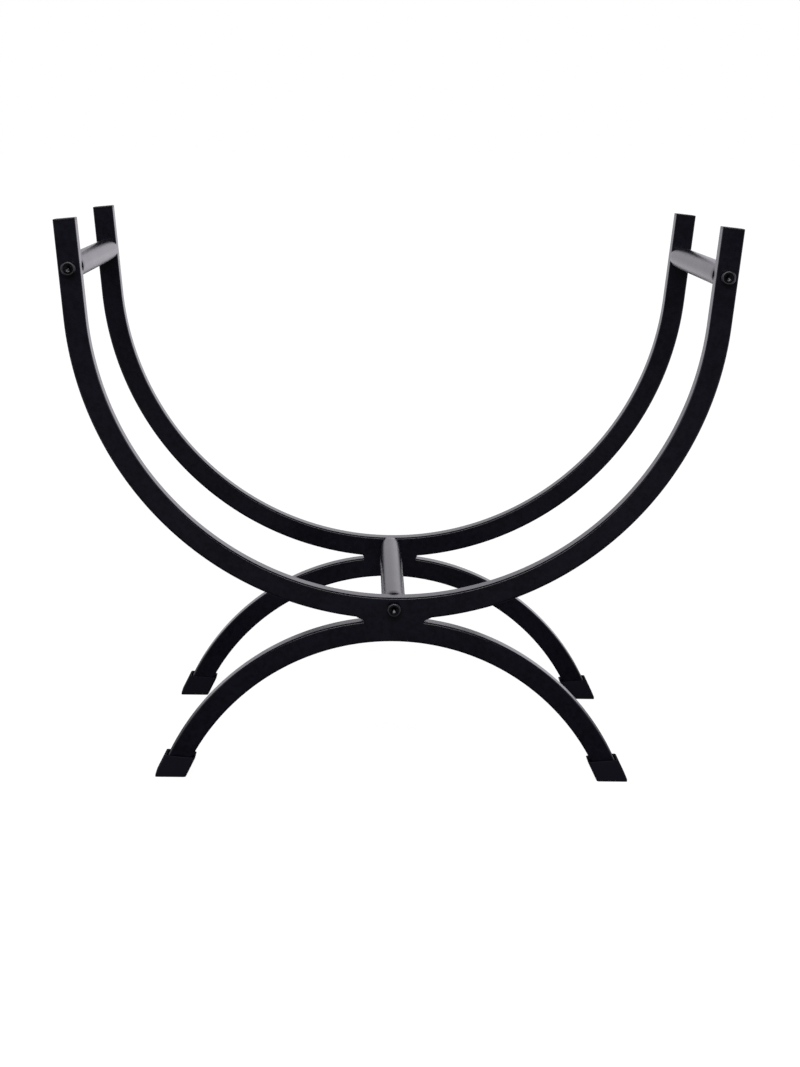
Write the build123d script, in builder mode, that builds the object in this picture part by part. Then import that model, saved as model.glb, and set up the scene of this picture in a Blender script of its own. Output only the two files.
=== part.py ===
"""Firewood log rack: two welded side frames of square tube, tied by three round crossbars.

Millimetres. The origin is on the floor under the middle of the rack, +X is right, +Y is back, +Z is up.
"""

import os
from math import acos, cos, degrees, radians, sin, sqrt, tan

from build123d import *

os.makedirs("parts", exist_ok=True)

# Square tube of the side frames
bar = 20
bar_wall = 1.5
bar_corner = 2

# Cradle bar: one round bend whose straight ends lean outwards
cradle_outer_radius = 300
cradle_half_angle = 84.1
cradle_end_length = 86.5
cradle_centre_height = 449

# Leg arch, swept past the floor by some degrees before it is cut level
arch_outer_radius = 227.5
arch_overrun = 5

# Weld that fills the fork between the two bends
root_gap = 0.5
weld_half_width = 28
weld_blank_height = 14
weld_tip_radius = 20
weld_tip_hollow = 0.8

# Spacing of the two frames and the round tubes between them
frame_spacing = 333
crossbar_diameter = 22
crossbar_wall = 1.5
crossbar_below_tip = 42

# Socket head screws and the threaded plugs they run into
screw_diameter = 8
screw_length = 40
head_diameter = 13
head_height = 8
head_chamfer = 0.8
hex_across_flats = 6
hex_depth = 4
clearance_hole = 9
plug_length = 24
tapped_hole = 8.2
plug_chamfer = 1

# Moulded foot caps: straight sleeves that lean with the legs, with the toe cut upright
cap_wall = 3
cap_corner = 2
cap_base = 4
cap_height = 19.2
cap_lean = 26
cap_rim_tilt = 5
cap_overrun = 10
toe_height = 2.2
sole_chamfer = 0.4

# Moulded end plugs of the cradle bars
flange_thickness = 2
flange_chamfer = 0.7
stem_width = 14
stem_length = 16
fin_width = 16.8
fin_thickness = 1
fin_pitch = 4.5
fin_count = 3

# Values that follow from the sizes above
cradle_radius = cradle_outer_radius - bar / 2
arch_radius = arch_outer_radius - bar / 2
weld_height = cradle_centre_height - cradle_outer_radius - root_gap / 2
arch_centre_height = weld_height - root_gap / 2 - arch_outer_radius
foot_angle = degrees(acos(-arch_centre_height / arch_radius))
arch_half_angle = foot_angle + arch_overrun
cap_slope = tan(radians(cap_lean))
rim_x = sqrt(arch_radius**2 - (cap_height - arch_centre_height) ** 2)
toe_x = rim_x + (cap_height - toe_height) * cap_slope + (bar / 2 + cap_wall) / cos(radians(cap_lean))
crossbar_length = frame_spacing - bar
bore = bar - 2 * bar_wall
frames = {"front": -1, "rear": 1}
sides = {"left": -1, "right": 1}


def frame_y(row):
    """Depth of a frame's middle plane, with row -1 at the front and 1 at the rear."""
    return row * frame_spacing / 2


def frame_plane(y):
    """Upright plane at a depth, drawn with x to the right and z up."""
    return Plane.XZ.offset(-y)


def cradle_point(side, past_bend):
    """Point (x, z) on the centreline of a straight end, past_bend along it from the bend."""
    angle = radians(cradle_half_angle)
    x = cradle_radius * sin(angle) + past_bend * cos(angle)
    z = cradle_centre_height - cradle_radius * cos(angle) + past_bend * sin(angle)
    return side * x, z


def save(part, name):
    """Label a finished piece and write it under its own name."""
    part.label = name
    export_step(part, f"parts/{name}.step")


def sweep_square(path, width, corner, hollow_width=0):
    """Square section with rounded corners carried along a path, with an optional square bore."""
    with BuildPart() as swept:
        with BuildSketch(Plane(origin=path @ 0, x_dir=(0, 1, 0), z_dir=path % 0)):
            RectangleRounded(width, width, corner)
            if hollow_width:
                Rectangle(hollow_width, hollow_width, mode=Mode.SUBTRACT)
        sweep(path=path)
    return swept.part


def cradle_path(y):
    """Centreline of a cradle bar: a straight end, the round bend, the other straight end."""
    with BuildLine(frame_plane(y)) as path:
        bend = CenterArc(
            (0, cradle_centre_height), cradle_radius, 270 - cradle_half_angle, 2 * cradle_half_angle
        )
        Line(bend @ 1, bend @ 1 + (bend % 1) * cradle_end_length)
        Line(bend @ 0 - (bend % 0) * cradle_end_length, bend @ 0)
    return path.wire()


def arch_path(y):
    """Centreline of a leg arch, down past the floor on both sides."""
    with BuildLine(frame_plane(y)) as path:
        CenterArc((0, arch_centre_height), arch_radius, 90 - arch_half_angle, 2 * arch_half_angle)
    return path.wire()


def cap_path(y, side):
    """Centreline of a foot cap: a straight line through its rim, from below the floor to above the rim."""
    low_x = rim_x + (cap_height + cap_overrun) * cap_slope
    high_x = rim_x - cap_overrun * cap_slope
    with BuildLine(frame_plane(y)) as path:
        Line((side * low_x, -cap_overrun), (side * high_x, cap_height + cap_overrun))
    return path.wire()


crossbars = {
    "left": cradle_point(-1, cradle_end_length - crossbar_below_tip),
    "right": cradle_point(1, cradle_end_length - crossbar_below_tip),
    "bottom": (0, cradle_centre_height - cradle_radius),
}

for frame, row in frames.items():
    y = frame_y(row)
    near_face = frame_plane(y - bar / 2)

    # Cradle bar, drilled through at each crossbar
    with BuildPart() as cradle_bar:
        add(sweep_square(cradle_path(y), bar, bar_corner, bore))
        with BuildSketch(near_face):
            with Locations(*crossbars.values()):
                Circle(clearance_hole / 2)
        extrude(amount=-bar, mode=Mode.SUBTRACT)
    save(cradle_bar.part, f"{frame}_cradle_bar")

    # Leg arch, cut level where it stands in the foot caps
    with BuildPart() as leg_arch:
        add(sweep_square(arch_path(y), bar, bar_corner, bore))
        split(bisect_by=Plane.XY.offset(cap_base), keep=Keep.TOP)
    save(leg_arch.part, f"{frame}_leg_arch")

    # Weld: fills the fork flush with both faces, with slightly hollow tips
    arch_envelope = sweep_square(arch_path(y), bar, bar_corner)
    with BuildPart() as weld:
        with BuildSketch(near_face):
            with Locations((0, weld_height)):
                Rectangle(2 * weld_half_width, weld_blank_height)
            for side in sides.values():
                with Locations((side * (weld_half_width + weld_tip_radius - weld_tip_hollow), weld_height)):
                    Circle(weld_tip_radius, mode=Mode.SUBTRACT)
        extrude(amount=-bar)
        add(sweep_square(cradle_path(y), bar, bar_corner), mode=Mode.SUBTRACT)
        add(arch_envelope, mode=Mode.SUBTRACT)
    save(weld.part, f"{frame}_weld")

    # Room for the legs inside the foot caps, down to the top of their base
    with BuildPart() as leg_room:
        add(arch_envelope)
        split(bisect_by=Plane.XY.offset(cap_base), keep=Keep.TOP)

    for side_name, side in sides.items():
        # Foot cap: a leaning sleeve between a flat sole and a tilted rim, with its toe cut upright
        rim_normal = (side * -sin(radians(cap_rim_tilt)), 0, cos(radians(cap_rim_tilt)))
        rim = Plane(origin=(side * rim_x, y, cap_height), z_dir=rim_normal)
        toe = Plane(origin=(side * toe_x, y, 0), z_dir=(side, 0, 0))
        with BuildPart() as foot_cap:
            add(sweep_square(cap_path(y, side), bar + 2 * cap_wall, cap_corner))
            split(bisect_by=Plane.XY, keep=Keep.TOP)
            split(bisect_by=rim, keep=Keep.BOTTOM)
            split(bisect_by=toe, keep=Keep.BOTTOM)
            chamfer(foot_cap.faces().sort_by(Axis.Z)[0].edges(), sole_chamfer)
            add(leg_room.part, mode=Mode.SUBTRACT)
        save(foot_cap.part, f"{frame}_{side_name}_foot_cap")

        # End plug: a flange over the tube's end and a finned stem inside it
        tip_x, tip_z = cradle_point(side, cradle_end_length)
        lean = radians(90 - cradle_half_angle)
        tip = Plane(origin=(tip_x, y, tip_z), x_dir=(0, 1, 0), z_dir=(side * sin(lean), 0, cos(lean)))
        with BuildPart() as end_plug:
            with BuildSketch(tip):
                RectangleRounded(bar, bar, bar_corner)
            extrude(amount=flange_thickness)
            chamfer(end_plug.faces().sort_by(Axis.Z)[-1].edges(), flange_chamfer)
            with BuildSketch(tip):
                Rectangle(stem_width, stem_width)
            extrude(amount=-stem_length)
            for fin in range(fin_count):
                with BuildSketch(tip.offset(-(fin + 0.5) * fin_pitch)):
                    Rectangle(fin_width, fin_width)
                extrude(amount=-fin_thickness)
        save(end_plug.part, f"{frame}_{side_name}_end_plug")

# Crossbars, with a threaded plug in each end and a screw through the frame into each plug
for place, (x, z) in crossbars.items():
    with BuildPart() as crossbar:
        with BuildSketch(Plane(origin=(x, -crossbar_length / 2, z), z_dir=(0, 1, 0))):
            Circle(crossbar_diameter / 2)
            Circle(crossbar_diameter / 2 - crossbar_wall, mode=Mode.SUBTRACT)
        extrude(amount=crossbar_length)
    save(crossbar.part, f"{place}_crossbar")

    for frame, row in frames.items():
        tube_end = Plane(origin=(x, row * crossbar_length / 2, z), z_dir=(0, row, 0))
        outer_face = tube_end.offset(bar)

        with BuildPart() as threaded_plug:
            with BuildSketch(tube_end):
                Circle(crossbar_diameter / 2 - crossbar_wall)
                Circle(tapped_hole / 2, mode=Mode.SUBTRACT)
            extrude(amount=-plug_length)
            inner_end = threaded_plug.faces().filter_by(GeomType.PLANE).sort_by(Axis.Y)[-1 if row < 0 else 0]
            chamfer(inner_end.outer_wire().edges(), plug_chamfer)
        save(threaded_plug.part, f"{frame}_{place}_threaded_plug")

        with BuildPart() as screw:
            with BuildSketch(outer_face):
                Circle(head_diameter / 2)
            extrude(amount=head_height)
            head_face = screw.faces().filter_by(GeomType.PLANE).sort_by(Axis.Y)[0 if row < 0 else -1]
            chamfer(head_face.edges(), head_chamfer)
            with BuildSketch(outer_face):
                Circle(screw_diameter / 2)
            extrude(amount=-screw_length)
            with BuildSketch(outer_face.offset(head_height)):
                RegularPolygon(hex_across_flats / 2, 6, major_radius=False)
            extrude(amount=-hex_depth, mode=Mode.SUBTRACT)
        save(screw.part, f"{frame}_{place}_screw")
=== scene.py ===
"""Looks of the firewood log rack: coated tube frames, crossbars, socket screws and moulded caps.

Metres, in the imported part's own frame: the origin is on the floor under the middle of the rack,
+X is right, +Y is back and +Z is up.
"""

import logging
from dataclasses import dataclass, field
from enum import Enum
from typing import Any, Callable, Mapping, Sequence

import bpy
import numpy as np
from mathutils import Matrix, Vector


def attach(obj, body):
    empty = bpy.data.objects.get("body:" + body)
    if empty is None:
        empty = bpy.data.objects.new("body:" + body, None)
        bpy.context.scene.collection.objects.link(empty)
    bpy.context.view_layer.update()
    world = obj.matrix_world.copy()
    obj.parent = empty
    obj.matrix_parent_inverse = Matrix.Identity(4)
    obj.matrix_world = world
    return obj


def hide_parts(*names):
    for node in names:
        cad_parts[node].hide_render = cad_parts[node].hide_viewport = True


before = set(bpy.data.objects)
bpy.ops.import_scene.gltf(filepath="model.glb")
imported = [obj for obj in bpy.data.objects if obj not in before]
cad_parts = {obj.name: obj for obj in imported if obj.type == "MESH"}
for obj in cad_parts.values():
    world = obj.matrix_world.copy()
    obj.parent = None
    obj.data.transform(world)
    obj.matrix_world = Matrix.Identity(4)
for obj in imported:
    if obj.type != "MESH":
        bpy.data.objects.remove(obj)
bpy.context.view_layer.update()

LOG = logging.getLogger("log_rack")
MM = 0.001
BODY = "root"
# Mesh attribute that marks where the painted highlight goes on the screw crowns
HIGHLIGHT_LAYER = "wear"
WHITE = (1.0, 1.0, 1.0)
FRAME_SPACING = 333 * MM
TUBE_WIDTH = 20 * MM

# Numbers of a Mix node's colour sockets, whose names aren't unique
MIX_LOW, MIX_HIGH, MIX_RESULT = 6, 7, 2

Array = np.ndarray
Colour = tuple[float, float, float]
Point = tuple[float, float, float]
Span = tuple[float, float]


class Half(Enum):
    """A half of the rack, with the sign of its coordinate."""

    @property
    def word(self) -> str:
        """Name as it stands in the part's nodes."""
        return self.name.lower()


class Row(Half):
    """The two side frames, with the sign of their depth."""

    FRONT = -1
    REAR = 1


class Side(Half):
    """Left and right halves, with the sign of their width."""

    LEFT = -1
    RIGHT = 1


class Slot(Enum):
    """Material slots of the record."""

    COAT = "black_powder_coat"
    RUBBER = "black_rubber"
    PLASTIC = "black_plastic"
    SCREW = "black_screw_steel"
    STEEL = "bare_steel"


Palette = dict[Slot, bpy.types.Material]


# Shader graphs


class Signal:
    """A value at one shader socket, whose arithmetic adds Math nodes to its graph."""

    def __init__(self, graph: "Graph", socket: bpy.types.NodeSocket) -> None:
        """Wrap an output socket of a graph."""
        self.graph = graph
        self.socket = socket

    def _math(self, operation: str, first: Any, second: Any) -> "Signal":
        """Result of one Math node on signals or numbers."""
        return self.graph.node("ShaderNodeMath", {"operation": operation}, {0: first, 1: second})

    def __add__(self, other: Any) -> "Signal":
        """self + other."""
        return self._math("ADD", self, other)

    def __radd__(self, other: Any) -> "Signal":
        """other + self."""
        return self._math("ADD", other, self)

    def __sub__(self, other: Any) -> "Signal":
        """self - other."""
        return self._math("SUBTRACT", self, other)

    def __rsub__(self, other: Any) -> "Signal":
        """other - self."""
        return self._math("SUBTRACT", other, self)

    def __mul__(self, other: Any) -> "Signal":
        """self * other."""
        return self._math("MULTIPLY", self, other)

    def __rmul__(self, other: Any) -> "Signal":
        """other * self."""
        return self._math("MULTIPLY", other, self)

    def maximum(self, other: Any) -> "Signal":
        """The larger of self and other."""
        return self._math("MAXIMUM", self, other)

    def magnitude(self) -> "Signal":
        """Self without its sign."""
        return self.maximum(0 - self)

    def mixed(self, other: "Signal", share: float) -> "Signal":
        """A share of self and the rest of other."""
        return self * share + other * (1 - share)


class Graph:
    """A node tree that is written as expressions."""

    def __init__(self, tree: bpy.types.NodeTree) -> None:
        """Start from the emptied tree of a material or a world."""
        self.tree = tree
        tree.nodes.clear()

    def node(
        self,
        kind: str,
        settings: Mapping[str, Any],
        sockets: Mapping[Any, Any],
        outlet: Any = 0,
    ) -> Signal:
        """Add any node.

        Args:
            kind: Blender's type name of the node.
            settings: Properties set first; "stops" holds a ramp's (place, grey) pairs.
            sockets: Values or signals of the input sockets, by name or number.
            outlet: Name or number of the output socket that is returned.

        Returns:
            The chosen output.
        """
        made = self.tree.nodes.new(kind)
        for key, value in settings.items():
            if key == "stops":
                self._set_stops(made.color_ramp, value)
            else:
                setattr(made, key, value)
        for key, value in sockets.items():
            if isinstance(value, Signal):
                self.tree.links.new(value.socket, made.inputs[key])
            else:
                made.inputs[key].default_value = value
        return Signal(self, made.outputs[outlet] if made.outputs else None)

    @staticmethod
    def _set_stops(ramp: bpy.types.ColorRamp, stops: Sequence[Span]) -> None:
        """Give a ramp its grey stops.

        Args:
            ramp: A ramp with its two default stops.
            stops: Pairs of place and grey level, in rising order.
        """
        while len(ramp.elements) < len(stops):
            ramp.elements.new(1.0)
        for element, (place, grey) in zip(ramp.elements, stops):
            element.position = place
            element.color = (grey, grey, grey, 1.0)

    def coords(self) -> Signal:
        """Object coordinates, in metres."""
        return self.node("ShaderNodeTexCoord", {}, {}, "Object")

    def axis(self, where: Signal, name: str) -> Signal:
        """One coordinate, X, Y or Z, of a vector."""
        return self.node("ShaderNodeSeparateXYZ", {}, {"Vector": where}, name)

    def noise(
        self, where: Signal, per_metre: float, detail: float = 2.0, rough: float = 0.5
    ) -> Signal:
        """Noise around one half, by features in a metre, octaves added and the share of each."""
        values = {"Vector": where, "Scale": per_metre, "Detail": detail, "Roughness": rough}
        return self.node("ShaderNodeTexNoise", {}, values, 0)

    def blend(self, mask: Signal, low: Any, high: Any) -> Signal:
        """Mix two signals or RGBA colours by a mask, zero for the low one and one for the high."""
        values = {"Factor": mask, MIX_LOW: low, MIX_HIGH: high}
        return self.node("ShaderNodeMix", {"data_type": "RGBA"}, values, MIX_RESULT)

    def tint(self, mask: Signal, low: Colour, high: Colour) -> Signal:
        """Mix two plain colours by a mask, zero for the low one and one for the high one."""
        return self.blend(mask, (*low, 1.0), (*high, 1.0))

    def bump(self, height: Signal, distance: float) -> Signal:
        """Normals of a height from zero to one, whose one is a distance in metres."""
        values = {"Height": height, "Distance": distance, "Strength": 1.0}
        return self.node("ShaderNodeBump", {}, values, "Normal")

    def ease(
        self, value: Signal, start: float, end: float, low: float = 0.0, high: float = 1.0
    ) -> Signal:
        """Smooth step from the low level to the high one, as a value runs from start to end."""
        values = {"Value": value, "From Min": start, "From Max": end, "To Min": low, "To Max": high}
        return self.node("ShaderNodeMapRange", {"interpolation_type": "SMOOTHSTEP"}, values)

    def output(self, kind: str, surface: Signal) -> None:
        """Send a finished shader to an output node of a kind."""
        self.node(kind, {}, {"Surface": surface})

    def finish(self, sockets: Mapping[str, Any]) -> None:
        """Send a Principled shader with these sockets to the material's output."""
        self.output("ShaderNodeOutputMaterial", self.node("ShaderNodeBsdfPrincipled", {}, sockets))


def new_material(name: str) -> tuple[bpy.types.Material, Graph]:
    """Make an empty node material.

    Args:
        name: Name of the material.

    Returns:
        The material and its graph.
    """
    material = bpy.data.materials.new(name)
    material.use_nodes = True
    return material, Graph(material.node_tree)


# Finishes


@dataclass(frozen=True)
class PowderCoat:
    """Satin black powder coat: orange peel over a finer grain, mottled and uneven in gloss."""

    deep: Colour = (0.0020, 0.0019, 0.0046)
    bloom: Colour = (0.0066, 0.0062, 0.0126)
    refraction: float = 1.33
    gloss_roughness: float = 0.19
    gloss_spread: float = 0.08
    peel_per_metre: float = 520.0
    grain_per_metre: float = 2600.0
    mottle_per_metre: float = 240.0
    mottle_range: Span = (0.32, 0.68)
    cloud_per_metre: float = 22.0
    peel_depth: float = 0.018 * MM
    grain_share: float = 0.35
    colour_cloud_share: float = 0.4
    gloss_cloud_share: float = 0.6

    def build(self) -> bpy.types.Material:
        """Build the material.

        Returns:
            The powder coat.
        """
        material, graph = new_material("satin_powder_coat")
        where = graph.coords()
        peel = graph.noise(where, self.peel_per_metre, detail=1.5, rough=0.45)
        grain = graph.noise(where, self.grain_per_metre, detail=2.0, rough=0.6)
        mottle = graph.noise(where, self.mottle_per_metre, detail=3.0, rough=0.6)
        cloud = graph.noise(where, self.cloud_per_metre, detail=4.0, rough=0.55)
        height = grain.mixed(peel, self.grain_share)
        tone = graph.ease(cloud.mixed(mottle, self.colour_cloud_share), *self.mottle_range)
        dulling = cloud.mixed(grain, self.gloss_cloud_share)
        graph.finish(
            {
                "Base Color": graph.tint(tone, self.deep, self.bloom),
                "Roughness": self.gloss_roughness + dulling * self.gloss_spread,
                "Normal": graph.bump(height, self.peel_depth),
                "IOR": self.refraction,
            }
        )
        return material


@dataclass(frozen=True)
class MouldedBlack:
    """Black moulding: dull skin with a fine spark-eroded grain and faint flow marks."""

    name: str
    deep: Colour
    bloom: Colour
    roughness: float
    roughness_spread: float
    grain_per_metre: float
    grain_depth: float
    flow_per_metre: float = 45.0
    refraction: float = 1.22
    colour_flow_share: float = 0.6
    gloss_flow_share: float = 0.5

    def build(self) -> bpy.types.Material:
        """Build the material.

        Returns:
            The moulding's finish.
        """
        material, graph = new_material(self.name)
        where = graph.coords()
        grain = graph.noise(where, self.grain_per_metre, detail=3.0, rough=0.6)
        flow = graph.noise(where, self.flow_per_metre, detail=3.0, rough=0.5)
        tone = flow.mixed(grain, self.colour_flow_share)
        dulling = flow.mixed(grain, self.gloss_flow_share)
        graph.finish(
            {
                "Base Color": graph.tint(tone, self.deep, self.bloom),
                "Roughness": self.roughness + dulling * self.roughness_spread,
                "Normal": graph.bump(grain, self.grain_depth),
                "IOR": self.refraction,
            }
        )
        return material


@dataclass(frozen=True)
class Metal:
    """Machined metal: fine tool marks, a clouded skin and a painted highlight, lighter and rougher
    where the mesh marks it.
    """

    name: str
    deep: Colour
    bloom: Colour
    # Lighter, rougher colour painted in as a highlight where the mesh attribute is set
    rubbed: Colour
    roughness: float
    roughness_spread: float
    rubbed_roughness: float
    marks_per_metre: float
    marks_depth: float
    cloud_per_metre: float = 160.0
    colour_cloud_share: float = 0.7
    gloss_cloud_share: float = 0.6
    # Strength of the painted highlight: its least share and how much the cloud adds
    wear_least: float = 0.7
    wear_cloud: float = 0.6

    def build(self) -> bpy.types.Material:
        """Build the material.

        Returns:
            The metal.
        """
        material, graph = new_material(self.name)
        where = graph.coords()
        marks = graph.noise(where, self.marks_per_metre, detail=2.0, rough=0.5)
        cloud = graph.noise(where, self.cloud_per_metre, detail=4.0, rough=0.6)
        # Painted highlight: the mesh attribute lays a lighter colour over the skin, standing in for
        # a ring of reflected light
        highlight_mask = graph.node("ShaderNodeAttribute", {"attribute_name": HIGHLIGHT_LAYER}, {}, "Fac")
        wear = highlight_mask * (self.wear_least + cloud * self.wear_cloud)
        skin = graph.tint(cloud.mixed(marks, self.colour_cloud_share), self.deep, self.bloom)
        dulling = cloud.mixed(marks, self.gloss_cloud_share)
        dullness = self.roughness + dulling * self.roughness_spread
        graph.finish(
            {
                "Base Color": graph.blend(wear, skin, (*self.rubbed, 1.0)),
                "Roughness": dullness + wear * self.rubbed_roughness,
                "Metallic": 1.0,
                "Normal": graph.bump(marks, self.marks_depth),
            }
        )
        return material


FINISHES: dict[Slot, PowderCoat | MouldedBlack | Metal] = {
    Slot.COAT: PowderCoat(),
    Slot.RUBBER: MouldedBlack(
        name="foot_cap_rubber",
        deep=(0.0050, 0.0046, 0.0092),
        bloom=(0.0088, 0.0083, 0.0150),
        roughness=0.58,
        roughness_spread=0.14,
        grain_per_metre=1900.0,
        grain_depth=0.05 * MM,
    ),
    Slot.PLASTIC: MouldedBlack(
        name="end_plug_plastic",
        deep=(0.0036, 0.0035, 0.0055),
        bloom=(0.0068, 0.0066, 0.0095),
        roughness=0.22,
        roughness_spread=0.10,
        grain_per_metre=2300.0,
        grain_depth=0.02 * MM,
        refraction=1.33,
    ),
    Slot.SCREW: Metal(
        name="black_oxide_steel",
        deep=(0.022, 0.0215, 0.025),
        bloom=(0.034, 0.033, 0.038),
        # Colour of the painted highlight on the crown's rim
        rubbed=(0.085, 0.083, 0.090),
        roughness=0.15,
        roughness_spread=0.12,
        rubbed_roughness=0.40,
        marks_per_metre=3000.0,
        marks_depth=0.012 * MM,
    ),
    Slot.STEEL: Metal(
        name="turned_steel",
        deep=(0.42, 0.41, 0.40),
        bloom=(0.60, 0.59, 0.57),
        rubbed=(0.66, 0.65, 0.63),
        roughness=0.25,
        roughness_spread=0.2,
        rubbed_roughness=0.0,
        marks_per_metre=2400.0,
        marks_depth=0.02 * MM,
    ),
}


# Meshes


def arc_corners(half_a: Array, half_b: Array, radius: Array, steps: int, shoulder: float) -> Array:
    """Rounded rectangles as loops: four quarter arcs, each with a shoulder point on both flats.

    A corner's point is its arc centre plus radius times (cos t, sin t), t over a quarter turn.

    Args:
        half_a: Half widths along the first axis, one per loop.
        half_b: Half widths along the second axis, one per loop.
        radius: Corner radii, one per loop.
        steps: Segments in each quarter arc.
        shoulder: Distance of the shoulder points from the arcs.

    Returns:
        Array of loops, points and two coordinates.
    """
    sizes = (half_a, half_b, radius)
    half_a, half_b, radius = (np.atleast_1d(np.asarray(v, float))[:, None] for v in sizes)
    turn = np.linspace(0.0, np.pi / 2, steps + 1)
    loops = []
    for quarter, (sign_a, sign_b) in enumerate(((1, 1), (-1, 1), (-1, -1), (1, -1))):
        angle = turn + quarter * np.pi / 2
        a = sign_a * (half_a - radius) + radius * np.cos(angle)
        b = sign_b * (half_b - radius) + radius * np.sin(angle)
        first = np.array([np.sin(angle[0]), -np.cos(angle[0])]) * shoulder
        last = np.array([-np.sin(angle[-1]), np.cos(angle[-1])]) * shoulder
        a = np.concatenate([a[:, :1] + first[0], a, a[:, -1:] + last[0]], axis=1)
        b = np.concatenate([b[:, :1] + first[1], b, b[:, -1:] + last[1]], axis=1)
        loops.append(np.stack([a, b], axis=-1))
    return np.concatenate(loops, axis=1)


def grid_faces(rings: int, points: int, closed: bool) -> Array:
    """Quads between neighbouring loops of a stack.

    Args:
        rings: Loops in the stack.
        points: Points in each loop.
        closed: Whether the last loop joins the first one.

    Returns:
        Array of quads.
    """
    last = rings if closed else rings - 1
    ring, point = np.meshgrid(np.arange(last), np.arange(points), indexing="ij")
    ahead = (point + 1) % points
    here, above = ring * points, (ring + 1) % rings * points
    quads = [here + point, here + ahead, above + ahead, above + point]
    return np.stack(quads, axis=-1).reshape(-1, 4)


def loft(
    name: str, loops: Array, closed: bool = False, crease_degrees: float = 32.0
) -> bpy.types.Object:
    """Skin a stack of loops into a closed piece that sits at the origin.

    Args:
        name: Name of the piece.
        loops: Array of loops, points and three coordinates.
        closed: Whether the last loop joins the first one; otherwise both ends get a flat lid.
        crease_degrees: Edges sharper than this stay crisp.

    Returns:
        The piece, with its faces pointing outwards.
    """
    rings, points = loops.shape[:2]
    faces = grid_faces(rings, points, closed).tolist()
    if not closed:
        faces.append(list(range(points))[::-1])
        faces.append(list(range((rings - 1) * points, rings * points)))
    mesh = bpy.data.meshes.new(name)
    mesh.from_pydata(loops.reshape(-1, 3), [], faces)
    if signed_volume(loops, closed) < 0:
        mesh.flip_normals()
    mesh.shade_smooth()
    mesh.set_sharp_from_angle(angle=np.radians(crease_degrees))
    mesh.validate()
    piece = bpy.data.objects.new(name, mesh)
    bpy.context.scene.collection.objects.link(piece)
    return piece


def signed_volume(loops: Array, closed: bool) -> float:
    """Volume of a skinned stack by the divergence theorem, negative where its faces point inwards.

    Each quad adds its two triangles' (a x b) . c / 6, and each lid a fan from its middle.

    Args:
        loops: Array of loops, points and three coordinates.
        closed: Whether the last loop joins the first one.

    Returns:
        The signed volume.
    """
    flat = loops.reshape(-1, 3) - loops.mean(axis=(0, 1))
    quads = grid_faces(*loops.shape[:2], closed)
    a, b, c, d = (flat[quads[:, k]] for k in range(4))
    total = np.sum(np.cross(a, b) * c) + np.sum(np.cross(a, c) * d)
    if not closed:
        centred = flat.reshape(loops.shape)
        for loop, sign in ((centred[0], -1.0), (centred[-1], 1.0)):
            middle = loop.mean(axis=0)
            total += sign * np.sum(np.cross(loop, np.roll(loop, -1, axis=0)) * middle)
    return float(total) / 6.0


def dress(piece: bpy.types.Object, node: str, slot: Slot, materials: Palette) -> None:
    """Give a piece its finish and let it stand for its node.

    Args:
        piece: The finished mesh.
        node: The node that it replaces.
        slot: The record's material slot.
        materials: The material of each slot.
    """
    piece.data.materials.append(materials[slot])
    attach(piece, BODY)
    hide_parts(node)
    LOG.info("%s: %d faces", piece.name, len(piece.data.polygons))


# Sub-assemblies


@dataclass(frozen=True)
class SquareTube:
    """Section of the frames' square tube."""

    width: float = TUBE_WIDTH
    wall: float = 1.5 * MM
    corner: float = 2.0 * MM
    bore_corner: float = 0.5 * MM
    end_break: float = 0.25 * MM
    corner_steps: int = 8
    shoulder: float = 0.25 * MM

    @property
    def half(self) -> float:
        """Half of the outer width."""
        return self.width / 2

    def outer(self, shrink: float = 0.0) -> Array:
        """Outer loop of the section, with its width reduced by shrink on each side."""
        half = self.half - shrink
        return arc_corners(half, half, self.corner - shrink, self.corner_steps, self.shoulder)[0]

    def inner(self) -> Array:
        """Loop of the bore."""
        half = self.half - self.wall
        return arc_corners(half, half, self.bore_corner, self.corner_steps, self.shoulder)[0]

    def along(self, stretch: Array, place: Callable[[Array, Array], Array]) -> Array:
        """Carry the outer and inner loops along a centreline as one tube with broken edges.

        Args:
            stretch: Rising shares of the way along the centreline, from zero to one.
            place: Function of shares and a loop that puts the loop into space at each share.

        Returns:
            Loops that run out along the outside and back through the bore.
        """
        skin = place(stretch, self.outer())
        lip = place(stretch[[0, -1]], self.outer(self.end_break))
        bore = place(stretch, self.inner())
        return np.concatenate([lip[:1], skin, lip[1:], bore[::-1]], axis=0)


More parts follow.
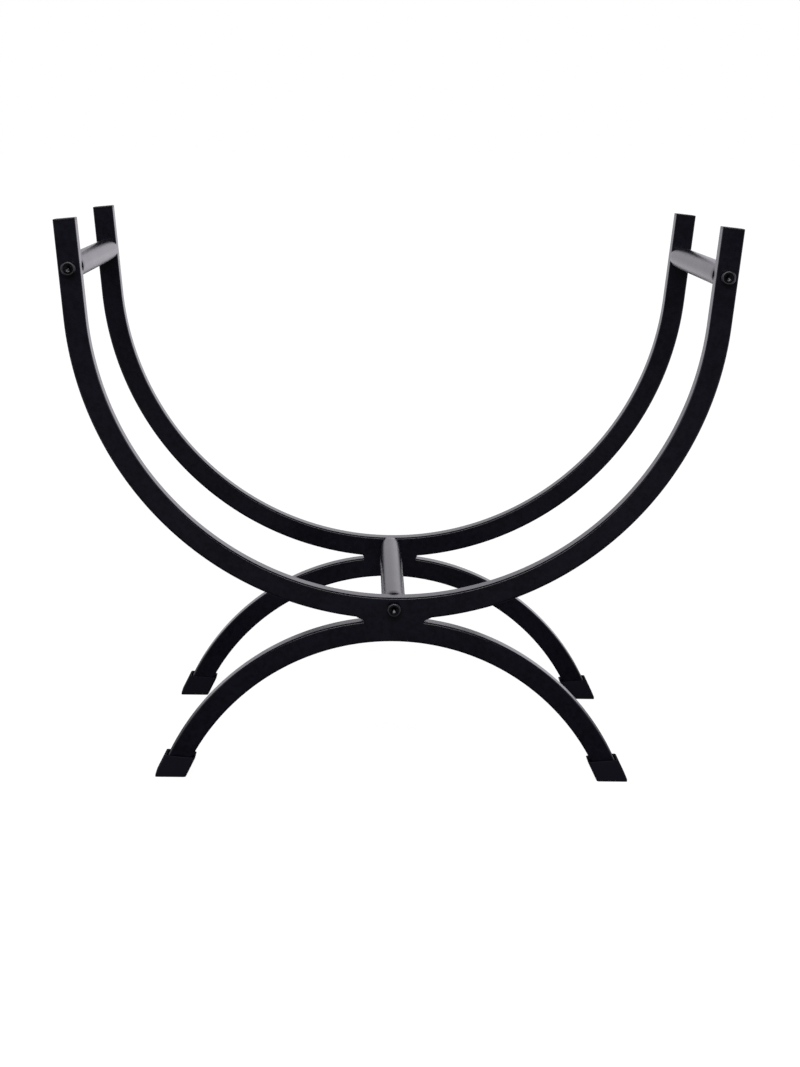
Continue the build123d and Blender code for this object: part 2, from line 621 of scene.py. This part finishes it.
@dataclass
class SideFrame:
    """One welded side frame: cradle bar, leg arch, weld, two end plugs and two foot caps."""

    row: Row
    materials: Palette
    tube: SquareTube = field(default_factory=SquareTube)
    spacing: float = FRAME_SPACING

    # Cradle bar and leg arch
    cradle_outer_radius: float = 300 * MM
    cradle_half_angle: float = float(np.radians(84.1))
    cradle_end_length: float = 86.5 * MM
    cradle_centre_height: float = 449 * MM
    crossbar_below_tip: float = 42 * MM
    arch_outer_radius: float = 227.5 * MM
    bend_stations: int = 220
    end_stations: int = 6
    arch_stations: int = 180

    # Weld, whose run-out under the cradle bar is longer on the front frame
    root_gap: float = 0.5 * MM
    weld_half_width: float = 28 * MM
    weld_tip_hollow: float = 0.8 * MM
    weld_tip_round: float = 1.2 * MM
    weld_flare_front: float = 6.5 * MM
    weld_flare_rear: float = 1 * MM
    weld_flare_start: float = 0.25
    weld_steps: int = 29
    weld_round_steps: int = 6
    weld_face_points: int = 42

    # Foot caps
    cap_wall: float = 3 * MM
    cap_corner: float = 2 * MM
    cap_base: float = 4 * MM
    cap_height: float = 19.2 * MM
    cap_lean: float = float(np.radians(26))
    cap_rim_tilt: float = float(np.radians(5))
    cap_rim_round: float = 0.5 * MM
    cap_rim_reveal: float = 1.5 * MM
    cap_lip_depth: float = 8 * MM
    cap_rim_steps: int = 5
    cap_stations: int = 24
    toe_height: float = 2.2 * MM
    sole_chamfer: float = 0.4 * MM

    # End plugs
    flange_thickness: float = 2 * MM
    flange_round: float = 0.7 * MM
    flange_break: float = 0.25 * MM
    flange_steps: int = 6
    stem_width: float = 14 * MM
    stem_length: float = 16 * MM
    stem_corner: float = 0.3 * MM
    fin_width: float = 16.8 * MM
    fin_thickness: float = 1 * MM
    fin_pitch: float = 4.5 * MM
    fin_count: int = 3

    @property
    def y(self) -> float:
        """Depth of the frame's middle plane."""
        return self.row.value * self.spacing / 2

    @property
    def cradle_radius(self) -> float:
        """Radius of the cradle bar's centreline."""
        return self.cradle_outer_radius - self.tube.half

    @property
    def bend_run(self) -> float:
        """Distance along the cradle's centreline from its lowest point to the end of the bend."""
        return self.cradle_half_angle * self.cradle_radius

    @property
    def arch_radius(self) -> float:
        """Radius of the leg arch's centreline."""
        return self.arch_outer_radius - self.tube.half

    @property
    def arch_centre_height(self) -> float:
        """Height of the leg arch's centre, which is below the floor."""
        cradle_low = self.cradle_centre_height - self.cradle_outer_radius
        return cradle_low - self.root_gap - self.arch_outer_radius

    def build(self) -> None:
        """Build and dress every piece of the frame."""
        self.cradle_bar()
        self.leg_arch()
        self.weld()
        for side in Side:
            self.end_plug(side)
            self.foot_cap(side)

    def name(self, piece: str) -> str:
        """Name of a piece of this frame."""
        return f"{self.row.word}_{piece}"

    def cradle_point(self, run: Array, offset: Array, depth: Array) -> Array:
        """Points on or beside the cradle's centreline.

        Along the bend the angle from its lowest point is run / radius; past the bend's ends the
        line goes straight on. Offset is measured away from the bend's centre, depth from the middle
        plane.

        Args:
            run: Distance along the centreline from its lowest point, negative to the left.
            offset: Distance outwards from the centreline.
            depth: Distance back from the middle plane.

        Returns:
            Array of points.
        """
        angle = np.clip(run / self.cradle_radius, -self.cradle_half_angle, self.cradle_half_angle)
        beyond = run - angle * self.cradle_radius
        reach = self.cradle_radius + offset
        x = reach * np.sin(angle) + beyond * np.cos(angle)
        z = self.cradle_centre_height - reach * np.cos(angle) + beyond * np.sin(angle)
        return np.stack(np.broadcast_arrays(x, self.y + depth, z), axis=-1)

    def arch_point(self, angle: Array, offset: Array, depth: Array) -> Array:
        """Points on or beside the leg arch: its centre plus the reach times (sin angle, cos angle).

        Args:
            angle: Angle from the top, positive to the right.
            offset: Distance outwards from the centreline.
            depth: Distance back from the middle plane.

        Returns:
            Array of points.
        """
        reach = self.arch_radius + offset
        x = reach * np.sin(angle)
        z = self.arch_centre_height + reach * np.cos(angle)
        return np.stack(np.broadcast_arrays(x, self.y + depth, z), axis=-1)

    def arch_end(self, offset: Array, height: float) -> Array:
        """Angle at which a fibre of the arch comes down to a height: cos(angle) = rise / reach."""
        return np.arccos((height - self.arch_centre_height) / (self.arch_radius + offset))

    @property
    def rim_x(self) -> float:
        """Distance from the middle at which the leg's centreline passes through its cap's rim."""
        rise = self.cap_height - self.arch_centre_height
        return float(np.sqrt(self.arch_radius**2 - rise**2))

    @property
    def toe_x(self) -> float:
        """Distance of the upright toe of a foot cap from the middle."""
        run = (self.cap_height - self.toe_height) * np.tan(self.cap_lean)
        return float(self.rim_x + run + (self.tube.half + self.cap_wall) / np.cos(self.cap_lean))

    def cap_point(self, side: Side, section: Array, height: Array, tilt: Array) -> Array:
        """Points where a leaning cap's straight fibres meet planes tilted about its rim's middle.

        A fibre runs through (rim_x, cap_height) plus its offset square to the lean. It meets the
        plane z = height + (x - rim_x) tan(tilt) at a distance solved in closed form, and stops at
        the toe.

        Args:
            side: The leg that the cap belongs to.
            section: Loops of offsets outwards and depths.
            height: Heights of the planes at the rim's middle, one per loop.
            tilt: Rise of the planes towards the outside, one per loop.

        Returns:
            Array of loops, points and three coordinates.
        """
        offset, depth = section[..., 0], section[..., 1]
        lean_sine, lean_cosine, slope = np.sin(self.cap_lean), np.cos(self.cap_lean), np.tan(tilt)
        drop = height - self.cap_height - offset * lean_sine + offset * lean_cosine * slope
        along = drop / (lean_cosine + lean_sine * slope)
        x = np.minimum(self.rim_x + offset * lean_cosine - along * lean_sine, self.toe_x)
        z = self.cap_height + offset * lean_sine + along * lean_cosine
        return np.stack([side.value * x, self.y + depth, z], axis=-1)

    def cradle_bar(self) -> None:
        """The U-shaped tube: a section carried along a straight end, the bend and the other end."""
        bend = self.bend_run
        total = bend + self.cradle_end_length
        ends = np.linspace(bend, total, self.end_stations + 1)[1:]
        runs = np.concatenate([-ends[::-1], np.linspace(-bend, bend, self.bend_stations), ends])

        def place(share: Array, loop: Array) -> Array:
            """Loops of the section at shares of the whole run."""
            run = (share[:, None] * 2 - 1) * total
            return self.cradle_point(run, loop[:, 0], loop[:, 1])

        loops = self.tube.along((runs / total + 1) / 2, place)
        piece = loft(self.name("cradle_bar_tube"), loops, closed=True)
        dress(piece, self.name("cradle_bar"), Slot.COAT, self.materials)

    def leg_arch(self) -> None:
        """The arched tube, each of its fibres ending at the level cut inside the foot caps."""

        def place(share: Array, loop: Array) -> Array:
            """Loops of the section at shares of each fibre's own angle."""
            angle = (share[:, None] * 2 - 1) * self.arch_end(loop[:, 0], self.cap_base)
            return self.arch_point(angle, loop[:, 0], loop[:, 1])

        loops = self.tube.along(np.linspace(0.0, 1.0, self.arch_stations), place)
        piece = loft(self.name("leg_arch_tube"), loops, closed=True)
        dress(piece, self.name("leg_arch"), Slot.COAT, self.materials)

    def weld(self) -> None:
        """The dressed weld: fills the fork flush with both faces.

        A loop is a rounded rectangle in plan. Its ends are drawn in by the hollow of the tips, a
        parabola of the height, and run out under the cradle bar with the square of the height. Its
        height goes from the arch's flat face up to the cradle's, both where the corners begin.
        """
        rise = np.linspace(0.0, 1.0, self.weld_steps)
        plan = self.weld_plan()
        hollow = self.weld_tip_hollow * (1 - (2 * rise - 1) ** 2)
        start = self.weld_flare_start
        run_out = self.weld_flare_front if self.row is Row.FRONT else self.weld_flare_rear
        flare = run_out * np.clip((rise - start) / (1 - 2 * start), 0.0, 1.0) ** 2
        x = plan[None, :, 0] * (1 + (flare - hollow)[:, None] / self.weld_half_width)
        arch_reach = self.arch_outer_radius - self.tube.corner
        cradle_reach = self.cradle_outer_radius - self.tube.corner
        low = self.arch_centre_height + np.sqrt(arch_reach**2 - x**2)
        high = self.cradle_centre_height - np.sqrt(cradle_reach**2 - x**2)
        z = low + (high - low) * rise[:, None]
        y = np.broadcast_to(self.y + plan[None, :, 1], x.shape)
        piece = loft(self.name("weld_fill"), np.stack([x, y, z], axis=-1))
        dress(piece, self.name("weld"), Slot.COAT, self.materials)

    def weld_plan(self) -> Array:
        """Outline of the weld from above, with points along its long faces to follow the bends.

        Returns:
            Array of points: place along the frame and depth.
        """
        width, half, tip = self.weld_half_width, self.tube.half, self.weld_tip_round
        corners = arc_corners(width, half, tip, self.weld_round_steps, self.tube.shoulder)[0]
        quarter = len(corners) // 4
        right, left = corners[[quarter - 1, quarter], 0]
        face = np.linspace(right, left, self.weld_face_points)[1:-1]
        back = np.stack([face, np.full_like(face, half)], axis=-1)
        front = np.stack([face[::-1], np.full_like(face, -half)], axis=-1)
        back_right, left_end, front_right = np.split(corners, [quarter, 3 * quarter])
        return np.concatenate([back_right, back, left_end, front, front_right], axis=0)

    def end_plug(self, side: Side) -> None:
        """Moulded plug: a rounded flange on the tube's end and a finned stem inside it.

        A row of the profile is its distance past the tube's end, its half width and its corner. The
        flange's edge is a quarter circle: r (1 - cos t) below its top, r (1 - sin t) drawn in.

        Args:
            side: The end of the cradle bar that it closes.
        """
        tube, edge = self.tube, self.flange_round
        turn = np.linspace(0.0, np.pi / 2, self.flange_steps)
        heights = self.flange_thickness - edge * (1 - np.cos(turn))
        halves = tube.half - edge * (1 - np.sin(turn))
        rows = [(height, half, tube.corner) for height, half in zip(heights, halves)]
        rows += [(self.flange_break, tube.half, tube.corner)]
        rows += [(0.0, tube.half - self.flange_break, tube.corner)]
        stem, fin, corner = self.stem_width / 2, self.fin_width / 2, self.stem_corner
        for index in range(self.fin_count):
            top = -(index + 0.5) * self.fin_pitch
            foot = top - self.fin_thickness
            rows += [(top, stem, corner), (top, fin, corner)]
            rows += [(foot, fin, corner), (foot, stem, corner)]
        rows += [(-self.stem_length, stem, corner)]
        table = np.array(rows)
        loops = arc_corners(table[:, 1], table[:, 1], table[:, 2], tube.corner_steps, tube.shoulder)
        run = side.value * (self.bend_run + self.cradle_end_length + table[:, :1])
        points = self.cradle_point(run, loops[..., 0], loops[..., 1])
        piece = loft(self.name(f"{side.word}_end_plug_moulding"), points)
        dress(piece, self.name(f"{side.word}_end_plug"), Slot.PLASTIC, self.materials)

    def foot_cap(self, side: Side) -> None:
        """Moulded cap: flat sole, leaning sleeve with an upright toe, rounded rim and inner lip.

        The rim's edges are quarter circles: r (1 - sin t) below its top, r (1 - cos t) drawn in.

        Args:
            side: The leg that it stands under.
        """
        tube, top, edge = self.tube, self.cap_height, self.cap_rim_round
        outer_half, inner_half = tube.half + self.cap_wall, tube.half + self.cap_rim_reveal
        turn = np.linspace(0.0, np.pi / 2, self.cap_rim_steps)
        drop, inset = edge * (1 - np.sin(turn)), edge * (1 - np.cos(turn))
        share = np.linspace(0.0, 1.0, self.cap_stations)
        heights = [self.sole_chamfer + (top - edge - self.sole_chamfer) * share, top - drop]
        heights += [top - drop[::-1], [top - self.cap_lip_depth]]
        halves = [np.full_like(share, outer_half), outer_half - inset]
        halves += [inner_half + inset[::-1], [inner_half]]
        tilts = [share * self.cap_rim_tilt, np.full(2 * len(turn) + 1, self.cap_rim_tilt)]
        height, half, tilt = (np.concatenate(v) for v in (heights, halves, tilts))
        corner = np.where(half > inner_half + edge, self.cap_corner, tube.corner)
        section = arc_corners(half, half, corner, tube.corner_steps, tube.shoulder)
        sleeve = self.cap_point(side, section, height[:, None], tilt[:, None])
        loops = np.concatenate([self.sole(sleeve[:1]), sleeve], axis=0)
        piece = loft(self.name(f"{side.word}_foot_cap_moulding"), loops)
        dress(piece, self.name(f"{side.word}_foot_cap"), Slot.RUBBER, self.materials)

    def sole(self, outline: Array) -> Array:
        """Loop of the sole: the sleeve's lowest outline, drawn in by the chamfer, on the floor.

        Args:
            outline: The sleeve's lowest loop.

        Returns:
            The loop on the floor.
        """
        plan = outline[..., :2]
        middle = (plan.max(axis=1) + plan.min(axis=1)) / 2
        reach = np.abs(plan - middle).max(axis=1)
        drawn_in = middle + (plan - middle) * (1 - self.sole_chamfer / reach)
        return np.concatenate([drawn_in, np.zeros_like(outline[..., 2:])], axis=-1)

    def crossbar_places(self) -> dict[str, Span]:
        """Axes of the three crossbars, the upper ones measured down from the cradle's cut ends.

        Returns:
            X and Z of each axis by place.
        """
        run = self.bend_run + self.cradle_end_length - self.crossbar_below_tip
        runs = {"left": -run, "right": run, "bottom": 0.0}
        at = self.cradle_point(np.array(list(runs.values())), np.zeros(3), np.zeros(3))
        return {place: (float(x), float(z)) for place, (x, _, z) in zip(runs, at)}


@dataclass
class Tie:
    """One round crossbar with a socket screw at each end."""

    place: str
    x: float
    z: float
    materials: Palette
    spacing: float = FRAME_SPACING
    bar: float = TUBE_WIDTH
    diameter: float = 22 * MM
    wall: float = 1.5 * MM
    end_round: float = 0.25 * MM
    end_round_steps: int = 5
    around: int = 96
    stations: int = 21

    # Screws
    screw_diameter: float = 8 * MM
    screw_length: float = 40 * MM
    head_diameter: float = 13 * MM
    head_height: float = 8 * MM
    head_round: float = 1.5 * MM
    head_round_steps: int = 9
    head_base_break: float = 0.3 * MM
    hex_across_flats: float = 6 * MM
    hex_depth: float = 4 * MM
    hex_lead_in: float = 0.35 * MM
    drill_point: float = float(np.radians(25))
    drill_tip: float = 0.15 * MM
    drill_steps: int = 8
    point_chamfer: float = 0.8 * MM
    # Painted highlight on the crown: a lighter colour from this radius outwards, fading out at this
    # angle of the rounding
    rub_start: float = 4.7 * MM
    rub_end: float = float(np.radians(62))
    knurl_count: int = 36
    knurl_depth: float = 0.16 * MM
    knurl_run_out: float = 0.35 * MM
    screw_around: int = 288

    def build(self) -> None:
        """Build and dress the crossbar, its screws and the plugs inside it."""
        self.crossbar()
        for row in Row:
            self.screw(row)
            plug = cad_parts[f"{row.word}_{self.place}_threaded_plug"]
            plug.data.materials.clear()
            plug.data.materials.append(self.materials[Slot.STEEL])
            LOG.info("%s: %d faces", plug.name, len(plug.data.polygons))

    def turned(self, rows: tuple[Array, Array], around: int) -> Array:
        """Loops about the crossbar's axis.

        A loop's point is (x + r cos t, y, z + r sin t).

        Args:
            rows: Depths and radii; the radii are one per loop, or one per loop and point.
            around: Points in a loop.

        Returns:
            Array of loops, points and three coordinates.
        """
        angle = np.linspace(0.0, 2 * np.pi, around, endpoint=False)
        depth, radius = rows
        x = self.x + radius * np.cos(angle)
        z = self.z + radius * np.sin(angle)
        return np.stack(np.broadcast_arrays(x, depth, z), axis=-1)

    def crossbar(self) -> None:
        """Round tube with its bore and rounded ends.

        Each end's edge is a quarter circle: r (1 - sin t) short of the end, r (1 - cos t) drawn in.
        """
        half = (self.spacing - self.bar) / 2
        outer, inner = self.diameter / 2, self.diameter / 2 - self.wall
        turn = np.linspace(0.0, np.pi / 2, self.end_round_steps)
        ease_depth = half - self.end_round * (1 - np.sin(turn))
        ease_radius = outer - self.end_round * (1 - np.cos(turn))
        middle = np.linspace(-1.0, 1.0, self.stations)[1:-1] * (half - self.end_round)
        depth = np.concatenate([-ease_depth[::-1], middle, ease_depth, [half, -half]])
        side = np.full_like(middle, outer)
        radius = np.concatenate([ease_radius[::-1], side, ease_radius, [inner, inner]])
        loops = self.turned((depth[:, None], radius[:, None]), self.around)
        piece = loft(f"{self.place}_crossbar_tube", loops, closed=True)
        dress(piece, f"{self.place}_crossbar", Slot.COAT, self.materials)

    def screw(self, row: Row) -> None:
        """Socket head screw: hexagon socket, rounded crown, knurled side and plain shank.

        The hexagon's radius at angle t is half its width over cos(t'), t' being t folded into a
        sixth turn. The knurl lowers the side by a cosine with knurl_count waves. The crown's edge
        is a quarter circle: r (1 - cos t) below the top, r (1 - sin t) drawn in. A row of the
        profile is its distance out from the frame's face, its radii and its painted highlight.

        Args:
            row: The frame whose outer face carries the head.
        """
        angle = np.linspace(0.0, 2 * np.pi, self.screw_around, endpoint=False)
        ring = np.ones_like(angle)
        folded = (angle + np.pi / 6) % (np.pi / 3) - np.pi / 6
        flat = self.hex_across_flats / 2
        hexagon = flat / np.cos(folded)
        head, top, edge = self.head_diameter / 2, self.head_height, self.head_round
        base, run_out = self.head_base_break, self.knurl_run_out
        side = head - self.knurl_depth * (0.5 + 0.5 * np.cos(self.knurl_count * angle))
        floor = top - self.hex_depth
        shank, point, tip = self.screw_diameter / 2, self.point_chamfer, -self.screw_length
        drilled = np.linspace(self.drill_tip, flat, self.drill_steps)
        turn = np.linspace(0.0, np.pi / 2, self.head_round_steps)
        crown_out, crown_radius = top - edge * (1 - np.cos(turn)), head - edge * (1 - np.sin(turn))
        # Painted highlight share along the crown's rounding
        crown_highlight = np.maximum(1 - turn / self.rub_end, 0.0)
        rows = [(floor - (flat - r) * np.tan(self.drill_point), r * ring, 0.0) for r in drilled]
        rows += [(floor, hexagon, 0.0), (top - self.hex_lead_in, hexagon, 0.0)]
        rows += [(top, hexagon + self.hex_lead_in, 0.0), (top, self.rub_start * ring, 0.0)]
        rows += [(out, r * ring, wear) for out, r, wear in zip(crown_out, crown_radius, crown_highlight)]
        rows += [(top - edge - run_out, side, 0.0), (base + run_out, side, 0.0)]
        rows += [(base, head * ring, 0.0), (0.0, (head - base) * ring, 0.0)]
        rows += [(0.0, shank * ring, 0.0), (tip + point, shank * ring, 0.0)]
        rows += [(tip, (shank - point) * ring, 0.0)]
        out, radius, wear = (np.stack(values) for values in zip(*rows))
        face = row.value * (self.spacing + self.bar) / 2
        loops = self.turned((face + row.value * out[:, None], radius), self.screw_around)
        piece = loft(f"{row.word}_{self.place}_socket_screw", loops)
        # Store the painted highlight share of each point for the screw's material
        rubbed = piece.data.attributes.new(HIGHLIGHT_LAYER, "FLOAT", "POINT")
        rubbed.data.foreach_set("value", np.repeat(wear, self.screw_around))
        dress(piece, f"{row.word}_{self.place}_screw", Slot.SCREW, self.materials)


# Stage


@dataclass
class Studio:
    """Pale floor, white surround, soft lights and the camera."""

    camera_place: Point = (-33 * MM, -2390 * MM, 592.6 * MM)
    yaw: float = 0.0169
    pitch: float = -0.163
    roll: float = 0.015
    lens_mm: float = 83.67
    sensor_mm: float = 36.0

    # Floor: its paint, its glow by distance, and how bright gloss sees it before, behind and beside
    floor_half: float = 40.0
    floor_grey: float = 0.16
    floor_grain_per_metre: float = 3.0
    floor_grain_lift: float = 1.02
    floor_glow: float = 0.95
    floor_fade: Span = (0.6, 2.6)
    floor_before: Span = (-1.4, -0.6)
    floor_before_level: float = 0.13
    floor_behind: Span = (0.28, 0.85)
    floor_behind_level: float = 0.86
    floor_beside: Span = (0.4, 1.0)
    floor_beside_end: Span = (0.9, 1.6)
    floor_beside_level: float = 0.85
    floor_lean_reach: float = 1.0

    # Surround: walls from front to back, brighter to the right, and what is above and at the sides
    room_levels: tuple[Span, ...] = (
        (0.0, 0.03),
        (0.36, 0.06),
        (0.52, 0.30),
        (0.78, 0.80),
        (0.9, 0.86),
    )
    room_tint: Colour = (0.955, 0.925, 1.0)
    room_lean: float = 0.16
    wall_lean_reach: float = 0.2
    ceiling: Span = (0.24, 0.5)
    ceiling_dimming: float = 0.96
    overhead: Span = (0.6, 0.95)
    overhead_level: float = 0.13
    panel_side: Span = (0.65, 0.85)
    panel_low: Span = (0.05, 0.25)
    panel_level: float = 1.1

    # Lamp
    softbox_place: Point = (-0.1, -2.25, 1.72)
    softbox_aim: Point = (0.0, 0.0, 0.25)
    softbox_size: Span = (2.0, 0.75)
    softbox_watts: float = 44.0

    def build(self) -> None:
        """Build the whole stage."""
        self.camera()
        self.floor()
        self.surround()
        self.softbox()
        bpy.context.scene.view_settings.view_transform = "Standard"

    def camera(self) -> None:
        """Camera at the photograph's viewing angle."""
        level = np.cos(self.pitch)
        forward = Vector((np.sin(self.yaw) * level, np.cos(self.yaw) * level, np.sin(self.pitch)))
        right = Vector((np.cos(self.yaw), -np.sin(self.yaw), 0.0))
        up = right.cross(forward)
        turned_right = right * np.cos(self.roll) + up * np.sin(self.roll)
        turned_up = up * np.cos(self.roll) - right * np.sin(self.roll)
        data = bpy.data.cameras.new("photo_camera")
        data.sensor_fit = "VERTICAL"
        data.sensor_height = self.sensor_mm
        data.lens = self.lens_mm
        camera = bpy.data.objects.new("photo_camera", data)
        axes = Matrix((turned_right, turned_up, -forward)).transposed().to_4x4()
        camera.matrix_world = Matrix.Translation(self.camera_place) @ axes
        bpy.context.scene.collection.objects.link(camera)
        bpy.context.scene.camera = camera

    def floor(self) -> None:
        """Pale floor: grey enough to keep the shadow, with a glow that brings it to white.

        Gloss and glass see it lit behind and beside the rack and dim in front of it.
        """
        corners = np.array([(-1, -1, 0), (1, -1, 0), (1, 1, 0), (-1, 1, 0)]) * self.floor_half
        mesh = bpy.data.meshes.new("studio_floor")
        mesh.from_pydata(corners, [], [(0, 1, 2, 3)])
        floor = bpy.data.objects.new("studio_floor", mesh)
        bpy.context.scene.collection.objects.link(floor)
        material, graph = new_material("studio_floor")
        where = graph.coords()
        across, depth = (graph.axis(where, name) for name in "XY")
        camera = self.ray(graph, "Is Camera Ray")
        before = graph.ease(depth, *self.floor_before, self.floor_before_level, 0.0)
        behind = graph.ease(depth, *self.floor_behind, 0.0, self.floor_behind_level)
        beside = graph.ease(across.magnitude(), *self.floor_beside, 0.0, self.floor_beside_level)
        beside = beside * graph.ease(depth.magnitude(), *self.floor_beside_end, 1.0, 0.0)
        lit = (before + behind).maximum(beside)
        mirrored = self.mirrored(graph) * lit * self.lean(graph, across, self.floor_lean_reach)
        grain = graph.noise(where, self.floor_grain_per_metre)
        low, high = self.floor_grey, self.floor_grey * self.floor_grain_lift
        paint = graph.tint(grain, (low, low, low), (high, high, high))
        diffuse = graph.node("ShaderNodeBsdfDiffuse", {}, {"Color": paint})
        away = graph.node("ShaderNodeVectorMath", {"operation": "LENGTH"}, {0: where}, "Value")
        fade = graph.ease(away, *self.floor_fade, self.floor_glow, 1.0)
        colour = graph.tint(camera, self.room_tint, WHITE)
        strength = camera.maximum(mirrored) * fade
        glow = graph.node("ShaderNodeEmission", {}, {"Color": colour, "Strength": strength})
        surface = graph.node("ShaderNodeAddShader", {}, {0: diffuse, 1: glow})
        graph.output("ShaderNodeOutputMaterial", surface)
        mesh.materials.append(material)

    @staticmethod
    def mirrored(graph: Graph) -> Signal:
        """One for rays that show the background in a gloss or through glass."""
        return Studio.ray(graph, "Is Glossy Ray").maximum(Studio.ray(graph, "Is Transmission Ray"))

    def lean(self, graph: Graph, across: Signal, reach: float) -> Signal:
        """Level around one that rises from left to right, over a reach to each side."""
        return graph.ease(across, -reach, reach, 1 - self.room_lean, 1 + self.room_lean)

    @staticmethod
    def ray(graph: Graph, kind: str) -> Signal:
        """One for rays of a kind, zero for others."""
        return graph.node("ShaderNodeLightPath", {}, {}, kind)

    def surround(self) -> None:
        """World: white to the camera.

        Other rays see a bright wall behind, panels at the sides, a dim ceiling and a dark front.
        The wall's ramp is read at half the heading's depth plus one half, from front to back.
        """
        world = bpy.data.worlds.new("studio_surround")
        world.use_nodes = True
        bpy.context.scene.world = world
        graph = Graph(world.node_tree)
        heading = graph.node("ShaderNodeTexCoord", {}, {}, "Generated")
        across, depth, height = (graph.axis(heading, name) for name in "XYZ")
        turned = depth * 0.5 + 0.5
        walls = graph.node("ShaderNodeValToRGB", {"stops": self.room_levels}, {"Fac": turned})
        walls = walls * self.lean(graph, across, self.wall_lean_reach)
        room = walls * (1 - graph.ease(height, *self.ceiling) * self.ceiling_dimming)
        room = room + graph.ease(height, *self.overhead, 0.0, self.overhead_level)
        panels = graph.ease(across.magnitude(), *self.panel_side, 0.0, self.panel_level)
        room = room + panels * graph.ease(height, *self.panel_low)
        camera = self.ray(graph, "Is Camera Ray")
        colour = graph.tint(camera, self.room_tint, WHITE)
        level = camera.maximum(room)
        glow = graph.node("ShaderNodeBackground", {}, {"Color": colour, "Strength": level})
        graph.output("ShaderNodeOutputWorld", glow)

    def softbox(self) -> None:
        """Wide lamp above the camera."""
        data = bpy.data.lights.new("camera_softbox", "AREA")
        data.shape = "RECTANGLE"
        data.size, data.size_y = self.softbox_size
        data.energy = self.softbox_watts
        lamp = bpy.data.objects.new("camera_softbox", data)
        aim = Vector(self.softbox_aim) - Vector(self.softbox_place)
        turn = aim.to_track_quat("-Z", "Y").to_matrix().to_4x4()
        lamp.matrix_world = Matrix.Translation(self.softbox_place) @ turn
        bpy.context.scene.collection.objects.link(lamp)


def main() -> None:
    """Build the finishes, the frames, the ties and the stage."""
    logging.basicConfig(level=logging.INFO, format="%(name)s: %(message)s")
    materials = {slot: finish.build() for slot, finish in FINISHES.items()}
    frames = [SideFrame(row, materials) for row in Row]
    for side_frame in frames:
        side_frame.build()
    for place, (x, z) in frames[0].crossbar_places().items():
        Tie(place, x, z, materials).build()
    Studio().build()


if __name__ == "__main__":
    main()
